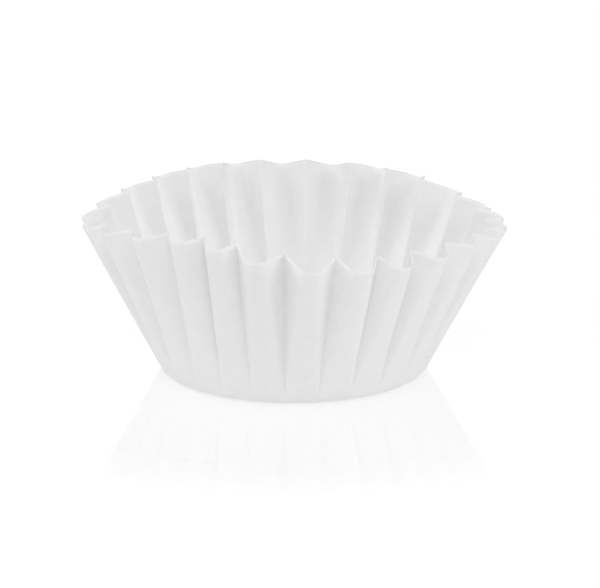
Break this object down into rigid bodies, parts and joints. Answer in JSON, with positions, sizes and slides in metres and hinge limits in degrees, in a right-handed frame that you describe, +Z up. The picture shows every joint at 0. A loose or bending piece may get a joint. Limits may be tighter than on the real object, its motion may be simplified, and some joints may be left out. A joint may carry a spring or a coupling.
{
  "type": "paper coffee filter",
  "caption": "Round basket coffee filter of white paper: flat base, wall leaning outwards, folded all round into rounded flutes.",
  "frame": {"origin": "centre of the underside of the flat base, where the filter rests", "axes": "+Z up out of the mouth; -Y is the side that faces the camera in the picture"},
  "size_m": [0.1728, 0.168, 0.0743],
  "materials": {
    "paper": "matt bleached filter paper"
  },
  "bodies": {
    "root": {"filter_paper": "paper"}
  },
  "joints": []
}
